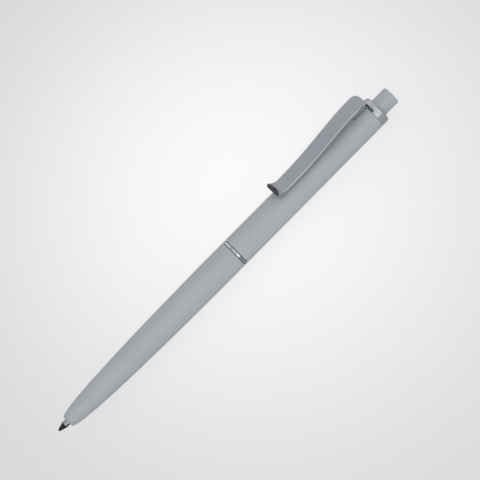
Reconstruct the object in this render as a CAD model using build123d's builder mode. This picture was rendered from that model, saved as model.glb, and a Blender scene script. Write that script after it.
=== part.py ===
"""A click ballpoint pen lying along X with its clip up, in millimetres.

The writing point faces -X and the push button +X. The origin is on the surface that
the pen lies on, under the middle of its length. Stations are measured back along the
pen's axis from the front of the writing ball, with the point out, ready to write.
"""

import os
from math import cos, pi, sin, sqrt, tau

from build123d import *

os.makedirs("parts", exist_ok=True)

# Lengths that add up to the whole pen, from the ball to the end of the button
point_reach = 4.0
lower_barrel_length = 71.5
ring_width = 1.2
upper_barrel_length = 58.6
cap_height = 2.9
button_reach = 5.8

# Travel of the click, back from the writing position and forward past it
retract_travel = 5.3
over_press = 1.2

# Clearances: on the radius of a seat, on the radius of a running fit, and end to end
seat_gap = 0.05
slide_gap = 0.08
face_gap = 0.1

# How far a cut runs past the faces that it opens
overrun = 1.0

# Lower barrel: a bullet taper, then a straight stretch up to the ring
barrel_diameter = 9.6
nose_diameter = 3.5
straight_length = 10.0
nose_swell_share = 0.74
taper_hold_shares = (0.58, 0.95)
guide_length = 2.3
guide_relief = 0.3
spring_seat_depth = 5.5
socket_shoulder = 0.45
edge_break = 0.12

# Upper barrel: a tube with a screwed spigot in front and a slot for the clip behind
barrel_top_diameter = 9.44
upper_wall = 0.85
spigot_wall = 1.0
spigot_length = 9.0
spigot_room = 0.5
spigot_lead = 0.3
thread_depth = 0.35
thread_runout = 1.2
neck_length = 2.0
sleeve_step = 0.5
clip_slot_depth = 5.1

# Centre ring
ring_wall = 1.2
ring_edge_radius = 0.2
ring_groove_width = 0.14
ring_groove_depth = 0.25

# End cap: a collar on the barrel with a spigot inside it and a window for the clip
cap_diameter = 9.4
cap_edge_radius = 0.8
cap_front_chamfer = 0.15
cap_mouth_chamfer = 0.15
cap_spigot_length = 6.0
cap_spigot_wall = 0.74
cap_window_width = 6.1
cap_window_height = 1.0

# Pocket clip: an arm with a turned-out lip, an end bent down over the cap and a foot in the barrel
clip_length = 39.1
clip_lip_width = 6.8
clip_neck_width = 6.0
clip_root_width = 6.4
clip_thickness = 1.2
clip_root_thickness = 1.05
clip_rise = 3.85
clip_rest_gap = 0.2
clip_past_barrel = 0.8
clip_sweep_shares = (0.47, 0.66)
clip_edge_radius = 0.25
clip_lip_corner = 1.5
clip_root_corner = 1.9
clip_bend_length = 3.0
clip_bend_slope_share = 0.14
clip_end_edge = 0.15
lip_reach = 4.0
lip_rise = 1.65
lip_thickness = 1.05
lip_slope = 0.2
lip_under = 2.3
clip_pad_length = 4.0
rib_width = 2.0
rib_slot_gap = 0.12
rib_end_gap = 0.15
rib_window_share = 0.35
foot_width = 3.9
foot_thickness = 0.48
foot_gap = 0.18

# Push button and the plunger that it is pressed onto
button_wall = 0.7
button_end_wall = 1.6
button_hold = 2.2
button_edge_radius = 0.35
plunger_bore_diameter = 3.0
key_length = 10.0

# Cam sleeve: four ribs with slanted ends, and four grooves between them
cam_count = 4
sleeve_wall = 0.5
rib_height = 0.8
rib_length = 10.4
groove_width = 2.3
cam_rise = 0.9
rotor_room = 7.2

# Cam rotor: four fins for the grooves under a crown of teeth
fin_length = 3.2
crown_height = 0.9
crown_teeth = 8
crown_tooth_depth = 0.7
crown_notch_share = 0.85
pilot_length = 4.0
rotor_base = 0.6
rotor_stem_length = 1.3
peg_length = 2.5
pilot_room = 1.0

# Refill: tube with crimped ears, ink, brass point and ball
tube_diameter = 3.0
tube_bore_diameter = 2.0
ear_length = 1.5
ear_width = 0.7
ball_diameter = 0.7
ball_gap = 0.02
ball_show = 0.2
lip_wall = 0.06
feed_diameter = 0.4
point_bore_diameter = 0.9
feed_length = 1.6
cone_length = 2.3
cone_diameter = 2.0
stub_diameter = 2.2
stub_step = 0.15
point_front_length = 7.7
shank_diameter = 2.5
shank_length = 5.0
point_tail_length = 4.0
ink_length = 66.0
ink_gap = 0.01

# Return spring, as it is squeezed in the writing position
spring_wire = 0.4
spring_length = 20.0
spring_turns = 14
spring_gap = 0.1
spring_bore_gap = 0.15
spring_end_share = 0.35
spring_samples = 24

# Stations along the pen
nose_at = point_reach
ring_at = nose_at + lower_barrel_length
upper_at = ring_at + ring_width
cap_at = upper_at + upper_barrel_length
cap_top_at = cap_at + cap_height
pen_length = cap_top_at + button_reach

# Radii of the fits, from the barrel inwards
barrel_radius = barrel_diameter / 2
barrel_top_radius = barrel_top_diameter / 2
upper_bore = barrel_top_radius - upper_wall
sleeve_radius = upper_bore - seat_gap
groove_radius = sleeve_radius - sleeve_wall
key_radius = groove_radius - slide_gap
rib_inner_radius = groove_radius - rib_height
plunger_radius = rib_inner_radius - slide_gap
cap_bore = upper_bore - seat_gap - cap_spigot_wall
button_radius = cap_bore - slide_gap
spigot_radius = barrel_radius - ring_wall
key_width = groove_width - 2 * slide_gap
tube_radius = tube_diameter / 2
tube_bore = tube_bore_diameter / 2
spring_mean_radius = tube_radius + spring_gap + spring_wire / 2
spring_radius = spring_mean_radius + spring_wire / 2
chamber_radius = spring_radius + spring_bore_gap

# Stations of the click mechanism, worked forward from the end cap
cap_spigot_at = cap_at - cap_spigot_length
sleeve_back_at = cap_spigot_at - face_gap
key_back_at = cap_spigot_at - retract_travel - face_gap
rib_back_at = key_back_at - over_press - face_gap
rib_front_at = rib_back_at - rib_length
sleeve_front_at = rib_front_at - rotor_room
fin_back_at = rib_front_at - face_gap
fin_front_at = fin_back_at - fin_length
crown_at = fin_back_at + crown_height
plunger_front_at = crown_at + face_gap
refill_end_at = fin_front_at - rotor_base - rotor_stem_length

# Stations of the refill
spring_seat_at = nose_at + spring_seat_depth
ear_at = spring_seat_at + spring_length
tube_front_at = point_front_length + shank_length
point_back_at = tube_front_at + point_tail_length

# Half the angle from one groove to the next
half_pitch = pi / cam_count

# The pen's axis, the plane through it and the clip, and the planes across it
axis_height = barrel_radius
tip_x = -pen_length / 2
pen_axis = Axis((tip_x, 0, axis_height), (1, 0, 0))
pen_plane = Plane(origin=(tip_x, 0, axis_height), x_dir=(1, 0, 0), z_dir=(0, -1, 0))


def section(station):
    """The plane across the pen at a station, with Y to its right and Z up."""
    return Plane(origin=(tip_x + station, 0, axis_height), x_dir=(0, 1, 0), z_dir=(1, 0, 0))


def spoke(station, angle):
    """The plane at a station that faces outwards at an angle round the pen, along it and across."""
    outwards = (0, cos(angle), sin(angle))
    return Plane(origin=(tip_x + station, 0, axis_height), x_dir=(1, 0, 0), z_dir=outwards)


def cross_bars(width, reach, mode=Mode.ADD):
    """Draws bars through the pen's axis, one along each pair of grooves."""
    bars = cam_count // 2
    for bar in range(bars):
        Rectangle(2 * reach, width, rotation=(180 * bar + 90) / bars, mode=mode)


def slant_ends(station, rise, first_angle, half_width):
    """Cuts the end of each cam to a slant that climbs from one side of it to the other."""
    for cam in range(cam_count):
        with BuildSketch(spoke(station, first_angle + tau * cam / cam_count)) as slant:
            Polygon((0, -half_width), (rise, -half_width), (0, half_width), align=None)
        extrude(slant.sketch, amount=sleeve_radius, mode=Mode.SUBTRACT)


def side_edges(piece):
    """The edges along both sides of the clip."""
    return piece.edges().filter_by(lambda edge: abs(edge.center().Y) > clip_neck_width / 2 - clip_edge_radius)


def save(piece, name):
    """Labels a finished piece and writes it."""
    piece.part.label = name
    export_step(piece.part, f"parts/{name}.step")


# Lower barrel, turned from one outline
taper_end_at = ring_at - straight_length
taper_length = taper_end_at - nose_at
nose_radius = nose_diameter / 2
taper_rise = barrel_radius - nose_radius
swell_radius = nose_radius + nose_swell_share * taper_rise
hold_at = nose_at + taper_hold_shares[0] * taper_length
hold_radius = nose_radius + taper_hold_shares[1] * taper_rise
spigot_socket = spigot_radius + seat_gap
socket_at = ring_at - spigot_length - spigot_room
socket_bore = spigot_socket - socket_shoulder
guide_bore = stub_diameter / 2 + slide_gap
relief_bore = guide_bore + guide_relief
guide_end_at = nose_at + guide_length

with BuildPart() as lower_barrel:
    with BuildSketch(pen_plane):
        with BuildLine():
            Bezier(
                (nose_at, nose_radius),
                (nose_at, swell_radius),
                (hold_at, hold_radius),
                (taper_end_at, barrel_radius),
            )
            Polyline(
                (taper_end_at, barrel_radius),
                (ring_at - edge_break, barrel_radius),
                (ring_at, barrel_radius - edge_break),
                (ring_at, spigot_socket),
                (socket_at, spigot_socket),
                (socket_at, socket_bore),
                (spring_seat_at, chamber_radius),
                (spring_seat_at, relief_bore),
                (guide_end_at, relief_bore),
                (guide_end_at, guide_bore),
                (nose_at, guide_bore),
                (nose_at, nose_radius),
            )
        make_face()
    revolve(axis=pen_axis)
save(lower_barrel, "lower_barrel")

# Centre ring: a flange held between the two barrels, with a bead that stands clear of both
bead_at = ring_at + ring_groove_width
bead_end_at = upper_at - ring_groove_width
flange_radius = barrel_radius - ring_groove_depth

with BuildPart() as centre_ring:
    with BuildSketch(pen_plane):
        Polygon(
            (ring_at, spigot_radius + seat_gap),
            (ring_at, flange_radius),
            (bead_at, flange_radius),
            (bead_at, barrel_radius),
            (bead_end_at, barrel_radius),
            (bead_end_at, flange_radius),
            (upper_at, flange_radius),
            (upper_at, spigot_radius + seat_gap),
            align=None,
        )
    revolve(axis=pen_axis)
    fillet(centre_ring.edges().filter_by(GeomType.CIRCLE).group_by(SortBy.RADIUS)[-1], ring_edge_radius)
save(centre_ring, "centre_ring")

# Upper barrel with its spigot, cut down to the foot of its thread, its bore and the slot for the clip
spigot_at = ring_at - spigot_length
spigot_bore = spigot_radius - spigot_wall
thread_foot = spigot_radius - thread_depth
thread_end_at = ring_at - thread_runout
step_bore = upper_bore - sleeve_step
neck_at = upper_at + neck_length
neck_cone = step_bore - spigot_bore
clip_slot_width = rib_width + 2 * rib_slot_gap

with BuildPart() as upper_barrel:
    with BuildSketch(pen_plane):
        with BuildLine():
            Polyline(
                (spigot_at, spigot_bore),
                (spigot_at, thread_foot - spigot_lead),
                (spigot_at + spigot_lead, thread_foot),
                (thread_end_at - thread_depth, thread_foot),
                (thread_end_at, spigot_radius),
                (upper_at, spigot_radius),
                (upper_at, barrel_radius - edge_break),
                (upper_at + edge_break, barrel_radius),
                (cap_at - edge_break, barrel_top_radius),
                (cap_at, barrel_top_radius - edge_break),
                (cap_at, upper_bore),
                (sleeve_front_at, upper_bore),
                (sleeve_front_at, step_bore),
                (neck_at + neck_cone, step_bore),
                (neck_at, spigot_bore),
                close=True,
            )
        make_face()
    revolve(axis=pen_axis)
    with BuildSketch(section(cap_at)):
        Rectangle(clip_slot_width, barrel_radius + overrun, align=(Align.CENTER, Align.MIN))
    extrude(amount=-clip_slot_depth, mode=Mode.SUBTRACT)
save(upper_barrel, "upper_barrel")

# End cap: collar, spigot, the window beside the clip and the slot for the clip's foot
cap_radius = cap_diameter / 2
foot_slot_width = foot_width + 2 * foot_gap

with BuildPart() as end_cap:
    with BuildSketch(section(cap_at)):
        Circle(cap_radius)
    extrude(amount=cap_height)
    fillet(end_cap.faces().sort_by(Axis.X)[-1].edges(), cap_edge_radius)
    chamfer(end_cap.faces().sort_by(Axis.X)[0].edges(), cap_front_chamfer)
    with BuildSketch(section(cap_at)):
        Circle(upper_bore - seat_gap)
    extrude(amount=-cap_spigot_length)
    with BuildSketch(section(cap_spigot_at)):
        Circle(cap_bore)
    extrude(amount=cap_spigot_length + cap_height, mode=Mode.SUBTRACT)
    chamfer(end_cap.faces().sort_by(Axis.X)[-1].inner_wires().edges(), cap_mouth_chamfer)
    with BuildSketch(section(cap_at)):
        Rectangle(cap_window_width, cap_radius + overrun, align=(Align.CENTER, Align.MIN))
    extrude(amount=cap_window_height, mode=Mode.SUBTRACT)
    with BuildSketch(section(cap_at)):
        Rectangle(foot_slot_width, cap_radius + overrun, align=(Align.CENTER, Align.MIN))
    extrude(amount=-cap_spigot_length, mode=Mode.SUBTRACT)
save(end_cap, "end_cap")

# Pocket clip: side outline, cut to its outline from above, then its bent end, its rib and its foot
root_at = cap_at + clip_past_barrel
clip_lip_at = root_at - clip_length
seat_radius = barrel_radius + clip_rest_gap
arm_low_radius = seat_radius + clip_thickness
arm_top_radius = barrel_radius + clip_rise
arm_under_radius = arm_top_radius - clip_root_thickness
lip_top_radius = arm_low_radius + lip_rise
flare_at = clip_lip_at + lip_reach
bend_at = root_at - clip_bend_length
bend_end_radius = arm_under_radius + clip_end_edge
pad_front_at = clip_lip_at + lip_under
pad_back_at = pad_front_at + clip_pad_length
arm_front_share, arm_back_share = clip_sweep_shares


def arm_curve(front_at, front_radius, back_at, back_radius):
    """One face of the arm, seen from the side: level at both ends with a sweep between them."""
    span = back_at - front_at
    return Bezier(
        (front_at, front_radius),
        (front_at + arm_front_share * span, front_radius),
        (front_at + arm_back_share * span, back_radius),
        (back_at, back_radius),
    )


rib_front_edge = cap_at - clip_slot_depth + rib_end_gap
rib_back_edge = cap_at + rib_window_share * cap_window_height
foot_outer = upper_bore - foot_gap
foot_inner = foot_outer - foot_thickness
foot_middle = foot_outer - foot_thickness / 2
foot_length = cap_at - rib_end_gap - rib_front_edge
arm_middle = arm_under_radius + clip_root_thickness / 2
clip_plan_width = max(clip_lip_width, clip_root_width)
clip_cut_height = axis_height + arm_top_radius + overrun

with BuildPart() as pocket_clip:
    with BuildSketch(pen_plane.offset(-clip_root_width)):
        with BuildLine():
            arm_curve(flare_at, arm_low_radius, bend_at, arm_top_radius)
            Polyline(
                (bend_at, arm_top_radius),
                (root_at, arm_top_radius),
                (root_at, arm_under_radius),
                (bend_at, arm_under_radius),
            )
            arm_curve(pad_back_at, seat_radius, bend_at, arm_under_radius)
            Line((pad_back_at, seat_radius), (pad_front_at, seat_radius))
            TangentArc((pad_front_at, seat_radius), (clip_lip_at, lip_top_radius), tangent=(-1, 0))
            Line((clip_lip_at, lip_top_radius), (clip_lip_at + lip_thickness, lip_top_radius - lip_slope))
            TangentArc(
                (flare_at, arm_low_radius),
                (clip_lip_at + lip_thickness, lip_top_radius - lip_slope),
                tangent=(-1, 0),
            )
        make_face()
    extrude(amount=2 * clip_root_width)
    with BuildSketch(Plane.XY):
        with BuildLine():
            Polyline(
                (tip_x + flare_at, -clip_neck_width / 2),
                (tip_x + root_at, -clip_root_width / 2),
                (tip_x + root_at, clip_root_width / 2),
                (tip_x + flare_at, clip_neck_width / 2),
            )
            TangentArc(
                (tip_x + flare_at, clip_neck_width / 2),
                (tip_x + clip_lip_at, clip_lip_width / 2),
                tangent=(flare_at - root_at, (clip_neck_width - clip_root_width) / 2),
            )
            Line((tip_x + clip_lip_at, clip_lip_width / 2), (tip_x + clip_lip_at, -clip_lip_width / 2))
            TangentArc(
                (tip_x + flare_at, -clip_neck_width / 2),
                (tip_x + clip_lip_at, -clip_lip_width / 2),
                tangent=(flare_at - root_at, (clip_root_width - clip_neck_width) / 2),
            )
        make_face()
    extrude(amount=clip_cut_height, mode=Mode.INTERSECT)
    fillet(side_edges(pocket_clip), clip_edge_radius)
    with BuildSketch(pen_plane.offset(-clip_root_width)):
        with BuildLine():
            TangentArc(
                (bend_at, arm_top_radius),
                (root_at, bend_end_radius),
                tangent=(1, -clip_bend_slope_share),
            )
            Polyline(
                (root_at, bend_end_radius),
                (root_at + overrun, bend_end_radius),
                (root_at + overrun, arm_top_radius + overrun),
                (bend_at, arm_top_radius + overrun),
                (bend_at, arm_top_radius),
            )
        make_face()
    extrude(amount=2 * clip_root_width, mode=Mode.SUBTRACT)
    with BuildSketch(Plane.XY) as rounded_plan:
        with Locations((tip_x + root_at - clip_length / 2, 0)):
            Rectangle(clip_length, clip_plan_width)
        fillet(rounded_plan.vertices().group_by(Axis.X)[0], clip_lip_corner)
        fillet(rounded_plan.vertices().group_by(Axis.X)[-1], clip_root_corner)
    extrude(amount=clip_cut_height, mode=Mode.INTERSECT)
    with BuildSketch(pen_plane.offset(-rib_width / 2)):
        Polygon(
            (rib_front_edge, foot_middle),
            (rib_front_edge, arm_middle),
            (bend_at, arm_middle),
            (rib_back_edge, arm_under_radius + clip_end_edge / 2),
            (rib_back_edge, foot_middle),
            align=None,
        )
    extrude(amount=rib_width)
    with BuildSketch(section(rib_front_edge)):
        Circle(foot_outer)
        Circle(foot_inner, mode=Mode.SUBTRACT)
        Rectangle(foot_width, foot_outer, align=(Align.CENTER, Align.MIN), mode=Mode.INTERSECT)
    extrude(amount=foot_length)
save(pocket_clip, "pocket_clip")

# Push button, a hollow cap
button_front_at = cap_top_at - retract_travel - button_hold
button_length = pen_length - button_front_at
button_bore = button_radius - button_wall

with BuildPart() as push_button:
    with BuildSketch(section(button_front_at)):
        Circle(button_radius)
    extrude(amount=button_length)
    fillet(push_button.faces().sort_by(Axis.X)[-1].edges(), button_edge_radius)
    with BuildSketch(section(button_front_at)):
        Circle(button_bore)
    extrude(amount=button_length - button_end_wall, mode=Mode.SUBTRACT)
save(push_button, "push_button")

# Plunger: stem in the button, shoulder, keyed body and a crown that faces the rotor
stem_radius = button_bore - seat_gap
stem_length = button_length - button_end_wall - face_gap
plunger_bore = plunger_bore_diameter / 2
pilot_radius = plunger_bore - slide_gap
notch_half_width = crown_notch_share * pi * plunger_radius / crown_teeth


def cut_crown(station, depth):
    """Cuts the notches between the teeth of a crown, as deep as asked along the pen."""
    for tooth in range(crown_teeth):
        with BuildSketch(spoke(station, tau * tooth / crown_teeth).offset(pilot_radius)) as notch:
            Polygon((0, -notch_half_width), (depth, 0), (0, notch_half_width), align=None)
        extrude(notch.sketch, amount=plunger_radius, mode=Mode.SUBTRACT)


with BuildPart() as plunger:
    with BuildSketch(section(plunger_front_at)):
        Circle(plunger_radius)
    extrude(amount=key_back_at - plunger_front_at)
    with BuildSketch(section(key_back_at - key_length)):
        cross_bars(key_width, key_radius)
        Circle(key_radius, mode=Mode.INTERSECT)
    extrude(amount=key_length)
    with BuildSketch(section(key_back_at)):
        Circle(button_radius)
    extrude(amount=button_front_at - key_back_at)
    with BuildSketch(section(button_front_at)):
        Circle(stem_radius)
    extrude(amount=stem_length)
    with BuildSketch(section(plunger_front_at)):
        Circle(plunger_bore)
    extrude(amount=pilot_length + pilot_room, mode=Mode.SUBTRACT)
    cut_crown(plunger_front_at, crown_tooth_depth)
save(plunger, "plunger")

# Cam sleeve: ribs with slanted front ends, then the wall round them
rib_root_radius = groove_radius + sleeve_wall / 2
rib_slant_width = 2 * rib_root_radius * sin(half_pitch)

with BuildPart() as cam_sleeve:
    with BuildSketch(section(rib_front_at)):
        Circle(rib_root_radius)
        Circle(rib_inner_radius, mode=Mode.SUBTRACT)
        cross_bars(groove_width, rib_root_radius, Mode.SUBTRACT)
    extrude(amount=rib_length)
    slant_ends(rib_front_at, cam_rise, 0, rib_slant_width / 2)
    with BuildSketch(section(sleeve_front_at)):
        Circle(sleeve_radius)
        Circle(groove_radius, mode=Mode.SUBTRACT)
    extrude(amount=sleeve_back_at - sleeve_front_at)
save(cam_sleeve, "cam_sleeve")

# Cam rotor: slanted fins, then the turned core through them and its crown
peg_radius = tube_bore - slide_gap

with BuildPart() as cam_rotor:
    with BuildSketch(section(fin_front_at)):
        cross_bars(key_width, key_radius)
        Circle(key_radius, mode=Mode.INTERSECT)
    extrude(amount=fin_length)
    slant_ends(fin_back_at, -cam_rise, half_pitch, key_width / 2)
    with BuildSketch(pen_plane):
        Polygon(
            (refill_end_at - peg_length, 0),
            (refill_end_at - peg_length, peg_radius),
            (refill_end_at, peg_radius),
            (refill_end_at, tube_radius),
            (refill_end_at + rotor_stem_length, tube_radius),
            (refill_end_at + rotor_stem_length, plunger_radius),
            (crown_at, plunger_radius),
            (crown_at, pilot_radius),
            (crown_at + pilot_length, pilot_radius),
            (crown_at + pilot_length, 0),
            align=None,
        )
    revolve(axis=pen_axis)
    cut_crown(crown_at, -crown_tooth_depth)
save(cam_rotor, "cam_rotor")

# Refill tube with four crimped ears that the spring pushes on
with BuildPart() as refill_tube:
    with BuildSketch(section(tube_front_at)):
        Circle(tube_radius)
    extrude(amount=refill_end_at - tube_front_at)
    with BuildSketch(section(ear_at)):
        cross_bars(ear_width, spring_radius)
        Circle(spring_radius, mode=Mode.INTERSECT)
    extrude(amount=ear_length)
    with BuildSketch(section(tube_front_at)):
        Circle(tube_bore)
    extrude(amount=refill_end_at - tube_front_at, mode=Mode.SUBTRACT)
save(refill_tube, "refill_tube")

# Ink that is left in the tube
with BuildPart() as ink_column:
    with BuildSketch(section(point_back_at)):
        Circle(tube_bore - ink_gap)
    extrude(amount=ink_length)
save(ink_column, "ink_column")

# Refill point: socket for the ball, cone, stub, shank and the tail in the tube
ball_radius = ball_diameter / 2
cup_radius = ball_radius + ball_gap
lip_radius = sqrt(cup_radius**2 - (ball_radius - ball_show) ** 2)
feed_radius = feed_diameter / 2
feed_at = ball_radius + sqrt(cup_radius**2 - feed_radius**2)
stub_radius = stub_diameter / 2
shank_radius = shank_diameter / 2
tail_radius = tube_bore - seat_gap
point_bore = point_bore_diameter / 2

with BuildPart() as refill_point:
    with BuildSketch(pen_plane):
        with BuildLine():
            ThreePointArc((feed_at, feed_radius), (ball_radius, cup_radius), (ball_show, lip_radius))
            Polyline(
                (ball_show, lip_radius),
                (ball_show, lip_radius + lip_wall),
                (cone_length, cone_diameter / 2),
                (cone_length + stub_step, stub_radius),
                (point_front_length, stub_radius),
                (point_front_length, shank_radius),
                (tube_front_at, shank_radius),
                (tube_front_at, tail_radius),
                (point_back_at, tail_radius),
                (point_back_at, point_bore),
                (feed_at + feed_length, point_bore),
                (feed_at + feed_length, feed_radius),
                (feed_at, feed_radius),
            )
        make_face()
    revolve(axis=pen_axis)
save(refill_point, "refill_point")

# Writing ball
with BuildPart() as writing_ball:
    with Locations((tip_x + ball_radius, 0, axis_height)):
        Sphere(ball_radius)
save(writing_ball, "writing_ball")

# Return spring: one wire, in arcs of a quarter turn that meet smoothly
wire_travel = spring_length - spring_wire


def wire_point(turn):
    """A point on the middle of the wire, after some turns: the end turns lie closer together."""
    share = turn / spring_turns
    along = wire_travel * (share - spring_end_share * sin(tau * share) / tau)
    across = spring_mean_radius * cos(tau * turn)
    up = spring_mean_radius * sin(tau * turn)
    return Vector(tip_x + spring_seat_at + spring_wire / 2 + along, across, axis_height + up)


def wire_direction(turn):
    """The direction of the wire there."""
    advance = wire_travel / spring_turns * (1 - spring_end_share * cos(tau * turn / spring_turns))
    around = tau * spring_mean_radius
    return Vector(advance, -around * sin(tau * turn), around * cos(tau * turn)).normalized()


def half_turn_arcs(turn):
    """Two arcs along half a turn of the wire, which leave, meet and arrive in its own direction."""
    start, leave = wire_point(turn), wire_direction(turn)
    end, arrive = wire_point(turn + 1 / 2), wire_direction(turn + 1 / 2)
    chord, both = end - start, leave + arrive
    square, along = both.dot(both) - 4, chord.dot(both)
    reach = (along - sqrt(along**2 - square * chord.dot(chord))) / square
    before, after = start + leave * reach, end - arrive * reach
    middle = (before + after) / 2
    TangentArc(start, middle, tangent=leave)
    TangentArc(middle, end, tangent=after - before)


with BuildPart() as return_spring:
    with BuildLine():
        for half_turn in range(2 * spring_turns):
            half_turn_arcs(half_turn / 2)
    with BuildSketch(Plane(origin=wire_point(0), z_dir=wire_direction(0))):
        Circle(spring_wire / 2)
    sweep()
save(return_spring, "return_spring")

# The wire's least gap to itself, measured from each point to the turns beside it
wire_steps = [wire_point(step / spring_samples) for step in range(spring_samples * spring_turns + 1)]
half_turn_steps = spring_samples // 2
least_gap = min(
    (beside - point).length
    for step, point in enumerate(wire_steps)
    for beside in wire_steps[step + half_turn_steps : step + 3 * half_turn_steps]
)
print(f"return spring: least gap between turns {least_gap - spring_wire:.2f} mm")
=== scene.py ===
"""Looks of a click ballpoint pen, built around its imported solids.

The pen lies along X with its point at -X, its push button at +X and its clip up. Lengths
are in metres unless a name ends in _mm, and stations are measured back from the tip.
"""

from math import cos, pi, radians, sin, tau

import bpy
from mathutils import Matrix, Vector


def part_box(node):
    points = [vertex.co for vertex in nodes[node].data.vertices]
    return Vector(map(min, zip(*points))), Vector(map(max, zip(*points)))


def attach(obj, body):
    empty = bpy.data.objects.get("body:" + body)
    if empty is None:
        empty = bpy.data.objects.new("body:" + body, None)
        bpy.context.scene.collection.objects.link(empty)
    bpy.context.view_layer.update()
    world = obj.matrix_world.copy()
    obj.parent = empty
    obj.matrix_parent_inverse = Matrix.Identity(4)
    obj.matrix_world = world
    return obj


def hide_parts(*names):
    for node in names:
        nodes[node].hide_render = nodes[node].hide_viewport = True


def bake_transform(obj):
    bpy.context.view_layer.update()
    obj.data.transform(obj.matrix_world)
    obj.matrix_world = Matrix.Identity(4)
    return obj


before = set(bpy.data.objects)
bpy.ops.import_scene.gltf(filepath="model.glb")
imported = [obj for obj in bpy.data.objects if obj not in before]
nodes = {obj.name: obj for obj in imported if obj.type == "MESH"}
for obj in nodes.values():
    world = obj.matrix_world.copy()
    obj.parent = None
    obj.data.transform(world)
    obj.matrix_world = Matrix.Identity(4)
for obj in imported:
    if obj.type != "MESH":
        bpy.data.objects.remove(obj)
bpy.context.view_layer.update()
scene = bpy.context.scene
mm = 0.001

# The pen's own line and the places of its pieces, read from the solids
tip_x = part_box("writing_ball")[0].x
axis_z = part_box("lower_barrel")[1].z / 2
ring_low, ring_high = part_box("centre_ring")
ring_middle_x = (ring_low.x + ring_high.x) / 2
spigot_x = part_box("upper_barrel")[0].x
lip_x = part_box("pocket_clip")[0].x
cap_end_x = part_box("end_cap")[1].x
spring_low, spring_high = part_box("return_spring")

# Return spring: a closed-end helix of round wire
spring_turns = 14
spring_wire = 0.4 * mm
spring_closing_share = 0.66
wire_sides = 14

# Steps of a winding in each turn, and the angle from which its edges are shaded sharp
winding_steps = 40
crease_angle = radians(35)

# Bright top of the centre ring's bead, between its two grooves, which have painted shade
bead_half = 0.42 * mm

# Painted shade: a dark land drawn on top of the clip's lip, deepest in its middle
lip_shade_depth = 1.5 * mm
lip_shade_bow = 0.06 / mm
lip_shade_height = 11.9 * mm

# Painted shade on the walls of the window in the cap
window_radius = 4.5 * mm
cap_behind_window = 1.85 * mm
window_x = cap_end_x - cap_behind_window

# Painted dark reflection on the cone in front on the refill's point
cone_length = 2.6 * mm
cone_x = tip_x + cone_length

# Feature sizes of the finishes' patterns
peel_mm = 0.35
lacquer_cloud_mm = 9.0
polishing_line_mm = 0.25
chrome_haze_mm = 0.8
flow_cloud_mm = 1.5

# A wave texture turns by this many radians for each unit of its scaled length
wave_rate = 20

# Satin plate: how much of it mirrors, and how far its polishing lines are drawn out along the pen
plate_mirror_share = 0.6
line_stretch = 0.03

# Painted highlight on the rounded edges of the clip, found by how far their faces lean to a side
# and rise
edge_lean = 0.62
edge_lean_reach = 0.34
edge_least_rise = 0.25

# Screw thread on the spigot: one turn draws the lower barrel by one pitch
thread_pitch = 1.25 * mm
thread_crest_radius = 3.58 * mm
thread_depth = 0.38 * mm
thread_foot_width = 1.0 * mm
thread_crest_width = 0.3 * mm
thread_lead = 0.5 * mm
thread_runout = 1.7 * mm
thread_fade_turns = 0.6
thread_end_share = 0.05


def at(station_mm):
    """The point on the pen's axis at a station behind the tip."""
    return Vector((tip_x + station_mm * mm, 0, axis_z))


def linear(hex_colour):
    """An sRGB hex colour as the linear RGBA that shaders take."""
    channels = [int(hex_colour[i : i + 2], 16) / 255 for i in (1, 3, 5)]
    return (*[c / 12.92 if c <= 0.04045 else ((c + 0.055) / 1.055) ** 2.4 for c in channels], 1)


def add(tree, kind, links=None, inputs=None, **settings):
    """Adds a node with its settings and its inputs' values, and links what feeds it."""
    node = tree.nodes.new(kind)
    for name, value in settings.items():
        setattr(node, name, value)
    for name, value in (inputs or {}).items():
        node.inputs[name].default_value = value
    for name, source in (links or {}).items():
        tree.links.new(source, node.inputs[name])
    return node


def new_material(name):
    """An empty material and its tree, with the output node that its shader goes to."""
    material = bpy.data.materials.new(name)
    material.use_nodes = True
    tree = material.node_tree
    tree.nodes.clear()
    return material, tree, add(tree, "ShaderNodeOutputMaterial")


def per_metre(size_mm):
    """The texture scale that gives a pattern features of that size."""
    return 1 / (size_mm * mm)


def soft_touch_lacquer():
    """Soft-touch lacquer sprayed on moulded ABS: an even satin grey with a faint orange peel."""
    material, tree, output = new_material("soft_touch_lacquer_on_abs")
    place = add(tree, "ShaderNodeTexCoord")
    # The real peel is about 0.1 mm: it is drawn coarser, because that is too fine to show
    peel = add(
        tree,
        "ShaderNodeTexNoise",
        {"Vector": place.outputs["Object"]},
        {"Scale": per_metre(peel_mm), "Detail": 3.0, "Roughness": 0.55},
    )
    cloud = add(
        tree,
        "ShaderNodeTexNoise",
        {"Vector": place.outputs["Object"]},
        {"Scale": per_metre(lacquer_cloud_mm), "Detail": 2.0},
    )
    colour = add(
        tree,
        "ShaderNodeMix",
        {"Factor": cloud.outputs["Fac"]},
        {"A": linear("#a3a7ac"), "B": linear("#aaaeb3")},
        data_type="RGBA",
    )
    gloss = add(
        tree,
        "ShaderNodeMapRange",
        {"Value": peel.outputs["Fac"]},
        {"To Min": 0.48, "To Max": 0.6},
    )
    bump = add(
        tree,
        "ShaderNodeBump",
        {"Height": peel.outputs["Fac"]},
        {"Strength": 0.12, "Distance": 0.02 * mm},
    )
    shader = add(
        tree,
        "ShaderNodeBsdfPrincipled",
        {
            "Base Color": colour.outputs["Result"],
            "Roughness": gloss.outputs["Result"],
            "Normal": bump.outputs["Normal"],
        },
        {"IOR": 1.48},
    )
    tree.links.new(shader.outputs["BSDF"], output.inputs["Surface"])
    return material


def zone(tree, place, axis, limit, test):
    """A mask that is 1 where an object coordinate is past a limit."""
    parts = add(tree, "ShaderNodeSeparateXYZ", {"Vector": place.outputs["Object"]})
    return add(tree, "ShaderNodeMath", {0: parts.outputs[axis]}, {1: limit}, operation=test)


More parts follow.
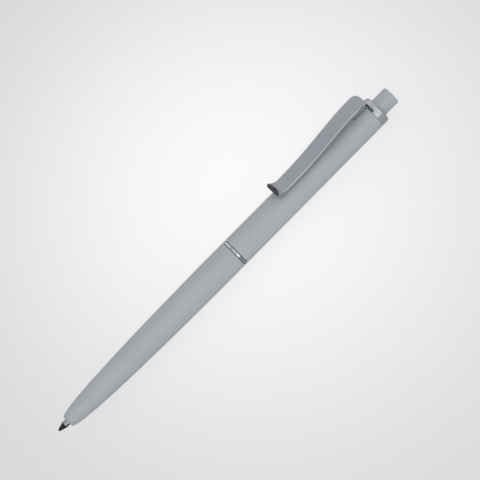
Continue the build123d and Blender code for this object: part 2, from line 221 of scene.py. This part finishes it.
def lip_painted_shade(tree, place):
    """A mask of the land on the clip's lip, deepest in its middle, where shade is painted."""
    parts = add(tree, "ShaderNodeSeparateXYZ", {"Vector": place.outputs["Object"]})
    square = add(
        tree,
        "ShaderNodeMath",
        {0: parts.outputs["Y"], 1: parts.outputs["Y"]},
        operation="MULTIPLY",
    )
    bowed = add(
        tree,
        "ShaderNodeMath",
        {0: square.outputs["Value"], 2: parts.outputs["X"]},
        {1: lip_shade_bow},
        operation="MULTIPLY_ADD",
    )
    front = add(
        tree,
        "ShaderNodeMath",
        {0: bowed.outputs["Value"]},
        {1: lip_x + lip_shade_depth},
        operation="LESS_THAN",
    )
    high = zone(tree, place, "Z", lip_shade_height, "GREATER_THAN")
    both = {0: front.outputs["Value"], 1: high.outputs["Value"]}
    return add(tree, "ShaderNodeMath", both, operation="MULTIPLY")


def cap_window_painted_shade(tree, place):
    """A mask of the walls inside the cap's window, where shade is painted."""
    around = add(
        tree,
        "ShaderNodeMapping",
        {"Vector": place.outputs["Object"]},
        {"Location": (0, 0, -axis_z), "Scale": (0, 1, 1)},
    )
    radius = add(tree, "ShaderNodeVectorMath", {0: around.outputs["Vector"]}, operation="LENGTH")
    inside = add(
        tree,
        "ShaderNodeMath",
        {0: radius.outputs["Value"]},
        {1: window_radius},
        operation="LESS_THAN",
    )
    front = zone(tree, place, "X", window_x, "LESS_THAN")
    both = {0: inside.outputs["Value"], 1: front.outputs["Value"]}
    return add(tree, "ShaderNodeMath", both, operation="MULTIPLY")


def painted_edge_highlight(tree, place):
    """A mask of the rounded edges between the clip's top and its sides, where a highlight is
    painted.
    """
    facing = add(tree, "ShaderNodeSeparateXYZ", {"Vector": place.outputs["Normal"]})
    sideways = add(tree, "ShaderNodeMath", {0: facing.outputs["Y"]}, operation="ABSOLUTE")
    leaning = add(
        tree,
        "ShaderNodeMath",
        {0: sideways.outputs["Value"]},
        {1: edge_lean, 2: edge_lean_reach},
        operation="COMPARE",
    )
    upward = add(
        tree,
        "ShaderNodeMath",
        {0: facing.outputs["Z"]},
        {1: edge_least_rise},
        operation="GREATER_THAN",
    )
    both = {0: leaning.outputs["Value"], 1: upward.outputs["Value"]}
    return add(tree, "ShaderNodeMath", both, operation="MULTIPLY")


def satin_chrome(name, plate, painted_shade_place, painted_shade_colour, edge_highlight_colour=None):
    """Satin chrome plate on moulded ABS: a soft grey mirror with painted shade and painted edge
    highlights.
    """
    material, tree, output = new_material(name)
    place = add(tree, "ShaderNodeTexCoord")
    along = add(
        tree,
        "ShaderNodeMapping",
        {"Vector": place.outputs["Object"]},
        {"Scale": (line_stretch, 1, 1)},
    )
    # Real polishing lines are some hundredths of a millimetre: these are drawn coarser to show
    lines = add(
        tree,
        "ShaderNodeTexNoise",
        {"Vector": along.outputs["Vector"]},
        {"Scale": per_metre(polishing_line_mm), "Detail": 2.0},
    )
    gloss = add(
        tree,
        "ShaderNodeMapRange",
        {"Value": lines.outputs["Fac"]},
        {"To Min": 0.27, "To Max": 0.32},
    )
    # Painted shade: one place of the plate is drawn in a dark colour
    painted_dark = painted_shade_place(tree, place)
    colour = add(
        tree,
        "ShaderNodeMix",
        {"Factor": painted_dark.outputs["Value"]},
        {"A": linear(plate), "B": linear(painted_shade_colour)},
        data_type="RGBA",
    )
    # Painted highlight: the rounded edges are drawn in a brighter colour
    if edge_highlight_colour:
        edge_highlight = painted_edge_highlight(tree, place)
        colour = add(
            tree,
            "ShaderNodeMix",
            {"Factor": edge_highlight.outputs["Value"], "A": colour.outputs["Result"]},
            {"B": linear(edge_highlight_colour)},
            data_type="RGBA",
        )
    shader = add(
        tree,
        "ShaderNodeBsdfPrincipled",
        {"Base Color": colour.outputs["Result"], "Roughness": gloss.outputs["Result"]},
        {"Metallic": plate_mirror_share},
    )
    tree.links.new(shader.outputs["BSDF"], output.inputs["Surface"])
    return material


def bright_chrome():
    """Bright chrome plate on the centre ring: a clean mirror, with painted shade in the two
    grooves.
    """
    material, tree, output = new_material("bright_chrome_plate_with_painted_groove_shade")
    place = add(tree, "ShaderNodeTexCoord")
    haze = add(
        tree,
        "ShaderNodeTexNoise",
        {"Vector": place.outputs["Object"]},
        {"Scale": per_metre(chrome_haze_mm), "Detail": 2.0},
    )
    gloss = add(
        tree,
        "ShaderNodeMapRange",
        {"Value": haze.outputs["Fac"]},
        {"To Min": 0.15, "To Max": 0.21},
    )
    parts = add(tree, "ShaderNodeSeparateXYZ", {"Vector": place.outputs["Object"]})
    bead = add(
        tree,
        "ShaderNodeMath",
        {0: parts.outputs["X"]},
        {1: ring_middle_x, 2: bead_half},
        operation="COMPARE",
    )
    # Painted shade: outside the bead, in the grooves, the plate is drawn dark
    colour = add(
        tree,
        "ShaderNodeMix",
        {"Factor": bead.outputs["Value"]},
        {"A": linear("#47484b"), "B": linear("#bfc1c4")},
        data_type="RGBA",
    )
    shader = add(
        tree,
        "ShaderNodeBsdfPrincipled",
        {"Base Color": colour.outputs["Result"], "Roughness": gloss.outputs["Result"]},
        {"Metallic": 1.0},
    )
    tree.links.new(shader.outputs["BSDF"], output.inputs["Surface"])
    return material


def turned_metal(name, colour, ring_mm, depth_mm, roughness, cone_painted_reflection=None):
    """Turned, ground or drawn metal: a clear mirror with fine rings, with a painted dark reflection
    on a cone in front.
    """
    material, tree, output = new_material(name)
    place = add(tree, "ShaderNodeTexCoord")
    # Real tool marks are some hundredths of a millimetre: most of these are drawn coarser to show
    rings = add(
        tree,
        "ShaderNodeTexWave",
        {"Vector": place.outputs["Object"]},
        {"Scale": per_metre(ring_mm) * tau / wave_rate, "Distortion": 0.4, "Detail": 1.0},
        bands_direction="X",
    )
    bump = add(
        tree,
        "ShaderNodeBump",
        {"Height": rings.outputs["Fac"]},
        {"Strength": 0.3, "Distance": depth_mm * mm},
    )
    shader = add(
        tree,
        "ShaderNodeBsdfPrincipled",
        {"Normal": bump.outputs["Normal"]},
        {"Base Color": linear(colour), "Metallic": 1.0, "Roughness": roughness},
    )
    # Painted dark reflection: the cone in front is drawn darker
    if cone_painted_reflection:
        painted_dark = zone(tree, place, "X", cone_x, "LESS_THAN")
        tint = add(
            tree,
            "ShaderNodeMix",
            {"Factor": painted_dark.outputs["Value"]},
            {"A": linear(colour), "B": linear(cone_painted_reflection)},
            data_type="RGBA",
        )
        tree.links.new(tint.outputs["Result"], shader.inputs["Base Color"])
    tree.links.new(shader.outputs["BSDF"], output.inputs["Surface"])
    return material


def plain_plastic(name, colour, deeper, roughness, ior):
    """Moulded or extruded plastic, or paste: an even sheen in its own colour, faintly clouded."""
    material, tree, output = new_material(name)
    place = add(tree, "ShaderNodeTexCoord")
    flow = add(
        tree,
        "ShaderNodeTexNoise",
        {"Vector": place.outputs["Object"]},
        {"Scale": per_metre(flow_cloud_mm), "Detail": 2.0},
    )
    tint = add(
        tree,
        "ShaderNodeMix",
        {"Factor": flow.outputs["Fac"]},
        {"A": linear(colour), "B": linear(deeper)},
        data_type="RGBA",
    )
    shader = add(
        tree,
        "ShaderNodeBsdfPrincipled",
        {"Base Color": tint.outputs["Result"]},
        {"Roughness": roughness, "IOR": ior},
    )
    tree.links.new(shader.outputs["BSDF"], output.inputs["Surface"])
    return material


# Finishes of the solids
lacquer = soft_touch_lacquer()
acetal = plain_plastic("moulded_acetal", "#e9e8e3", "#dfded8", roughness=0.32, ior=1.48)
spring_steel = turned_metal(
    "drawn_spring_steel", "#a9abad", ring_mm=0.3, depth_mm=0.004, roughness=0.3
)
finishes = {
    "lower_barrel": lacquer,
    "upper_barrel": lacquer,
    "push_button": lacquer,
    "centre_ring": bright_chrome(),
    # Painted light: the same satin plate is drawn brighter on the cap and darker on the clip, for
    # how the light falls on each
    "end_cap": satin_chrome(
        "satin_chrome_plate_with_painted_window_shade",
        "#b3b6bb",
        cap_window_painted_shade,
        painted_shade_colour="#26272c",
    ),
    "pocket_clip": satin_chrome(
        "satin_chrome_plate_with_painted_lip_shade",
        "#989ba1",
        lip_painted_shade,
        painted_shade_colour="#38383b",
        edge_highlight_colour="#bcbec2",
    ),
    "refill_point": turned_metal(
        "turned_nickel_silver_with_painted_cone_reflection",
        "#9c9c9f",
        ring_mm=0.12,
        depth_mm=0.004,
        roughness=0.16,
        cone_painted_reflection="#3c3c40",
    ),
    "writing_ball": turned_metal(
        "ground_tungsten_carbide", "#4a4a50", ring_mm=0.05, depth_mm=0.001, roughness=0.12
    ),
    "return_spring": spring_steel,
    "refill_tube": plain_plastic(
        "extruded_polypropylene", "#d9dcde", "#cfd3d7", roughness=0.35, ior=1.49
    ),
    "ink_column": plain_plastic("ink_paste", "#0b1030", "#080a22", roughness=0.25, ior=1.45),
}
for name, node in nodes.items():
    node.data.materials.clear()
    node.data.materials.append(finishes.get(name, acetal))


def winding_tree(name, sizes):
    """A tree with named sizes as inputs, and a right-hand helix up Z, closed at its ends or not."""
    tree = bpy.data.node_groups.new(name, "GeometryNodeTree")
    for size in ("Turns", "Radius", "Rise", "Closing", *sizes):
        tree.interface.new_socket(size, in_out="INPUT", socket_type="NodeSocketFloat")
    tree.interface.new_socket("Mesh", in_out="OUTPUT", socket_type="NodeSocketGeometry")
    given = add(tree, "NodeGroupInput").outputs
    helix = add(
        tree,
        "GeometryNodeCurveSpiral",
        {
            "Rotations": given["Turns"],
            "Start Radius": given["Radius"],
            "End Radius": given["Radius"],
            "Height": given["Rise"],
        },
        {"Resolution": winding_steps, "Reverse": True},
    )
    share = add(tree, "GeometryNodeSplineParameter").outputs["Factor"]
    turn = add(tree, "ShaderNodeMath", {0: share}, {1: tau}, operation="MULTIPLY")
    wave = add(tree, "ShaderNodeMath", {0: turn.outputs["Value"]}, operation="SINE")
    closing = add(
        tree,
        "ShaderNodeMath",
        {0: given["Closing"]},
        {1: -1 / tau},
        operation="MULTIPLY",
    )
    pull = add(
        tree,
        "ShaderNodeMath",
        {0: wave.outputs["Value"], 1: closing.outputs["Value"]},
        operation="MULTIPLY",
    )
    shift = add(
        tree,
        "ShaderNodeMath",
        {0: pull.outputs["Value"], 1: given["Rise"]},
        operation="MULTIPLY",
    )
    offset = add(tree, "ShaderNodeCombineXYZ", {"Z": shift.outputs["Value"]})
    spaced = add(
        tree,
        "GeometryNodeSetPosition",
        {"Geometry": helix.outputs["Curve"], "Offset": offset.outputs["Vector"]},
    )
    upright = add(
        tree,
        "GeometryNodeSetCurveNormal",
        {"Curve": spaced.outputs["Geometry"]},
        mode="Z_UP",
    )
    return tree, given, upright.outputs["Curve"], share


def finish_winding(tree, mesh, start, material):
    """Lays the wound mesh along the pen from a start, and ends the tree."""
    laid = add(
        tree,
        "GeometryNodeTransform",
        {"Geometry": mesh},
        {"Translation": start, "Rotation": (0, pi / 2, 0)},
    )
    crease = add(tree, "GeometryNodeInputMeshEdgeAngle")
    sharp = add(
        tree,
        "ShaderNodeMath",
        {0: crease.outputs["Unsigned Angle"]},
        {1: crease_angle},
        operation="GREATER_THAN",
    )
    smooth = add(tree, "GeometryNodeSetShadeSmooth", {"Geometry": laid.outputs["Geometry"]})
    edged = add(
        tree,
        "GeometryNodeSetShadeSmooth",
        {"Geometry": smooth.outputs["Geometry"], "Selection": sharp.outputs["Value"]},
        {"Shade Smooth": False},
        domain="EDGE",
    )
    whole = add(tree, "GeometryNodeRealizeInstances", {"Geometry": edged.outputs["Geometry"]})
    painted = add(
        tree,
        "GeometryNodeSetMaterial",
        {"Geometry": whole.outputs["Geometry"]},
        {"Material": material},
    )
    add(tree, "NodeGroupOutput", {"Mesh": painted.outputs["Geometry"]})


def spring_tree():
    """Round wire, wound as a spring."""
    tree, given, helix, _ = winding_tree("return_spring_winding", ["Wire radius"])
    section = add(
        tree,
        "GeometryNodeCurvePrimitiveCircle",
        {"Radius": given["Wire radius"]},
        {"Resolution": wire_sides},
    )
    wire = add(
        tree,
        "GeometryNodeCurveToMesh",
        {"Curve": helix, "Profile Curve": section.outputs["Curve"]},
        {"Fill Caps": True},
    )
    start = Vector((spring_low.x + spring_wire / 2, 0, axis_z))
    finish_winding(tree, wire.outputs["Mesh"], start, spring_steel)
    return tree


def thread_tree():
    """A ridge with a sloped flank on each side, which fades into the spigot at both ends."""
    tree, given, helix, share = winding_tree(
        "spigot_thread_winding", ["Foot width", "Crest width", "Depth", "Fade"]
    )
    corners = {}
    flanks = (("Foot", -0.5), ("Crest", -0.5), ("Crest", 0.5), ("Foot", 0.5))
    for corner, (part, side) in enumerate(flanks, start=1):
        width = given[f"{part} width"]
        half = add(tree, "ShaderNodeMath", {0: width}, {1: side}, operation="MULTIPLY")
        links = {"Y": half.outputs["Value"]}
        if part == "Crest":
            links["X"] = given["Depth"]
        corners[f"Point {corner}"] = add(tree, "ShaderNodeCombineXYZ", links).outputs["Vector"]
    section = add(tree, "GeometryNodeCurvePrimitiveQuadrilateral", corners, mode="POINTS")
    left = add(tree, "ShaderNodeMath", {1: share}, {0: 1.0}, operation="SUBTRACT")
    nearest = add(
        tree,
        "ShaderNodeMath",
        {0: share, 1: left.outputs["Value"]},
        operation="MINIMUM",
    )
    fade = add(
        tree,
        "ShaderNodeMapRange",
        {"Value": nearest.outputs["Value"], "From Max": given["Fade"]},
        {"To Min": thread_end_share},
    )
    ridge = add(
        tree,
        "GeometryNodeCurveToMesh",
        {
            "Curve": helix,
            "Profile Curve": section.outputs["Curve"],
            "Scale": fade.outputs["Result"],
        },
        {"Fill Caps": True},
    )
    start = Vector((spigot_x + thread_lead, 0, axis_z))
    finish_winding(tree, ridge.outputs["Mesh"], start, lacquer)
    return tree


def wound(name, tree, sizes):
    """The plain mesh that a tree winds from the sizes given, as a piece of its own."""
    piece = bpy.data.objects.new(name, bpy.data.meshes.new(name))
    scene.collection.objects.link(piece)
    modifier = piece.modifiers.new("winding", "NODES")
    modifier.node_group = tree
    for socket in tree.interface.items_tree:
        if socket.in_out == "INPUT":
            modifier[socket.identifier] = float(sizes[socket.name])
    shown = piece.evaluated_get(bpy.context.evaluated_depsgraph_get())
    mesh = bpy.data.meshes.new_from_object(shown)
    piece.modifiers.remove(modifier)
    piece.data = mesh
    return piece


# Spring: it lies between its seat in the barrel and the refill's ears
spring_rise = spring_high.x - spring_low.x - spring_wire
spring = wound(
    "spring_wire",
    spring_tree(),
    {
        "Turns": spring_turns,
        "Radius": (spring_high.y - spring_low.y - spring_wire) / 2,
        "Rise": spring_rise,
        "Closing": spring_closing_share,
        "Wire radius": spring_wire / 2,
    },
)
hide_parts("return_spring")
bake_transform(spring)

# Thread: it stays on the upper barrel's spigot when the lower barrel comes off it
thread_rise = ring_low.x - thread_runout - spigot_x - thread_lead
thread_turns = thread_rise / thread_pitch
thread = wound(
    "spigot_thread",
    thread_tree(),
    {
        "Turns": thread_turns,
        "Radius": thread_crest_radius - thread_depth,
        "Rise": thread_rise,
        "Closing": 0.0,
        "Foot width": thread_foot_width,
        "Crest width": thread_crest_width,
        "Depth": thread_depth,
        "Fade": thread_fade_turns / thread_turns,
    },
)
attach(thread, "upper_body")

# Floor: pale paper with a painted pool of light round the pen
floor_side = 12.0
pool_centre = (20 * mm, 24 * mm)
pool_reach = 122 * mm
pool_depth_share = 0.71
pool_painted_bright = "#ffffff"
pool_painted_dim = "#d9d9d9"

# How much of the pen's shadow the pool keeps, and of its own brightness where metal mirrors it
shadow_share = 0.3
mirrored_share = 0.36


def paper_floor():
    """Matt paper that is pale, with a painted pool of light and the pen's soft shadow on it, and
    dim where metal mirrors it.
    """
    material, tree, output = new_material("matt_paper_floor")
    place = add(tree, "ShaderNodeTexCoord")
    pool = add(
        tree,
        "ShaderNodeMapping",
        {"Vector": place.outputs["Object"]},
        {
            "Location": (-pool_centre[0], -pool_centre[1] * pool_depth_share, 0),
            "Scale": (1, pool_depth_share, 1),
        },
    )
    reach = add(tree, "ShaderNodeVectorMath", {0: pool.outputs["Vector"]}, operation="LENGTH")
    nearness = add(
        tree,
        "ShaderNodeMapRange",
        {"Value": reach.outputs["Value"]},
        {"From Min": pool_reach, "From Max": 0.0},
        interpolation_type="SMOOTHSTEP",
    )
    # Painted pool of light: the paper is drawn brighter near the pen and dimmer away from it
    colour = add(
        tree,
        "ShaderNodeMix",
        {"Factor": nearness.outputs["Result"]},
        {"A": linear(pool_painted_dim), "B": linear(pool_painted_bright)},
        data_type="RGBA",
    )
    paper = add(tree, "ShaderNodeBsdfDiffuse", {"Color": colour.outputs["Result"]})
    rays = add(tree, "ShaderNodeLightPath")
    strength = add(
        tree,
        "ShaderNodeMapRange",
        {"Value": rays.outputs["Is Glossy Ray"]},
        {"To Min": 1.0, "To Max": mirrored_share},
    )
    seen = add(
        tree,
        "ShaderNodeEmission",
        {"Color": colour.outputs["Result"], "Strength": strength.outputs["Result"]},
    )
    direct = add(
        tree,
        "ShaderNodeMath",
        {0: rays.outputs["Is Camera Ray"], 1: rays.outputs["Is Glossy Ray"]},
        operation="MAXIMUM",
    )
    plain = add(
        tree,
        "ShaderNodeMath",
        {0: direct.outputs["Value"], 1: rays.outputs["Is Transmission Ray"]},
        operation="MAXIMUM",
    )
    shadowless = add(
        tree,
        "ShaderNodeMapRange",
        {"Value": nearness.outputs["Result"]},
        {"To Min": 1.0, "To Max": 1 - shadow_share},
    )
    share = add(
        tree,
        "ShaderNodeMath",
        {0: plain.outputs["Value"], 1: shadowless.outputs["Result"]},
        operation="MULTIPLY",
    )
    look = add(
        tree,
        "ShaderNodeMixShader",
        {0: share.outputs["Value"], 1: paper.outputs["BSDF"], 2: seen.outputs["Emission"]},
    )
    tree.links.new(look.outputs["Shader"], output.inputs["Surface"])
    return material


half = floor_side / 2
floor_mesh = bpy.data.meshes.new("floor")
floor_mesh.from_pydata(
    [(-half, -half, 0), (half, -half, 0), (half, half, 0), (-half, half, 0)], [], [(0, 1, 2, 3)]
)
floor_mesh.materials.append(paper_floor())
floor = bpy.data.objects.new("floor", floor_mesh)
scene.collection.objects.link(floor)

# Room: as pale as the floor where they meet, dimmer above and in front, and bright behind, most
# of all towards the push button
room_horizon = pool_painted_dim
room_front = "#a9aaac"
room_back_at_point = "#d8dde8"
room_back_at_button = "#fffefb"

# Stretches of a direction's Z, Y and X over which those colours blend
horizon_band = (0.02, 0.3)
depth_band = (-0.25, 0.35)
length_band = (-0.3, 0.0)

world = bpy.data.worlds.new("studio")
scene.world = world
world.use_nodes = True
room = world.node_tree
room.nodes.clear()
facing = add(room, "ShaderNodeTexCoord")
heading = add(room, "ShaderNodeSeparateXYZ", {"Vector": facing.outputs["Generated"]})
towards_button = add(
    room,
    "ShaderNodeMapRange",
    {"Value": heading.outputs["X"]},
    {"From Min": length_band[0], "From Max": length_band[1]},
    interpolation_type="SMOOTHSTEP",
)
back_wall = add(
    room,
    "ShaderNodeMix",
    {"Factor": towards_button.outputs["Result"]},
    {"A": linear(room_back_at_point), "B": linear(room_back_at_button)},
    data_type="RGBA",
)
behind = add(
    room,
    "ShaderNodeMapRange",
    {"Value": heading.outputs["Y"]},
    {"From Min": depth_band[0], "From Max": depth_band[1]},
    interpolation_type="SMOOTHSTEP",
)
walls = add(
    room,
    "ShaderNodeMix",
    {"Factor": behind.outputs["Result"], "B": back_wall.outputs["Result"]},
    {"A": linear(room_front)},
    data_type="RGBA",
)
height = add(
    room,
    "ShaderNodeMapRange",
    {"Value": heading.outputs["Z"]},
    {"From Min": horizon_band[0], "From Max": horizon_band[1]},
)
sky = add(
    room,
    "ShaderNodeMix",
    {"Factor": height.outputs["Result"], "B": walls.outputs["Result"]},
    {"A": linear(room_horizon)},
    data_type="RGBA",
)
glow = add(room, "ShaderNodeBackground", {"Color": sky.outputs["Result"]})
add(room, "ShaderNodeOutputWorld", {"Surface": glow.outputs["Background"]})


def in_front(elevation):
    """The direction of what stands in front of the pen, that many degrees above the floor."""
    return Vector((0, -cos(radians(elevation)), sin(radians(elevation))))


def softbox(name, elevation, distance, width, height, brightness):
    """A soft lamp in front that faces the pen, as bright as white paper at 1."""
    towards_lamp = in_front(elevation)
    lamp = bpy.data.lights.new(name, "AREA")
    lamp.shape = "RECTANGLE"
    lamp.size, lamp.size_y = width, height
    lamp.energy = brightness * pi * width * height
    holder = bpy.data.objects.new(name, lamp)
    holder.location = towards_lamp * distance
    holder.rotation_mode = "QUATERNION"
    holder.rotation_quaternion = towards_lamp.to_track_quat("Z", "Y")
    scene.collection.objects.link(holder)
    return holder


# The key makes the highlights. The panel only shows in the metal, and the fill only lights, from
# beside the camera, so that little of the clip's shade on the barrel shows
softbox("key", elevation=15, distance=1.6, width=1.8, height=0.75, brightness=1.28)
panel = softbox("panel", elevation=54.5, distance=1.8, width=2.6, height=1.74, brightness=0.6)
panel.visible_diffuse = False
fill = softbox("fill", elevation=44, distance=1.8, width=2.6, height=0.4, brightness=3.8)
fill.visible_glossy = False

# Camera: where the photograph was taken from
picture_side_px = 480
focal_px = 2200
square_station_mm = 61.2
view_distance_mm = 670
view_elevation = 45.0
look_station_mm = 79.9
look_offset_mm = 1.67
pen_slope = 45.27

towards = in_front(view_elevation)
aside = in_front(view_elevation + 90)
camera_data = bpy.data.cameras.new("camera")
camera_data.lens = camera_data.sensor_width * focal_px / picture_side_px
camera = bpy.data.objects.new("camera", camera_data)
scene.collection.objects.link(camera)
scene.camera = camera
eye = at(square_station_mm) + view_distance_mm * mm * towards
look = at(look_station_mm) + look_offset_mm * mm * aside
back = (eye - look).normalized()
pen_across = Vector((1, 0, 0))
pen_across = (pen_across - pen_across.dot(back) * back).normalized()
pen_up = back.cross(pen_across)
slope = radians(pen_slope)
right = cos(slope) * pen_across - sin(slope) * pen_up
up = sin(slope) * pen_across + cos(slope) * pen_up
camera.matrix_world = Matrix.Translation(eye) @ Matrix((right, up, back)).transposed().to_4x4()

scene.view_settings.view_transform = "Standard"
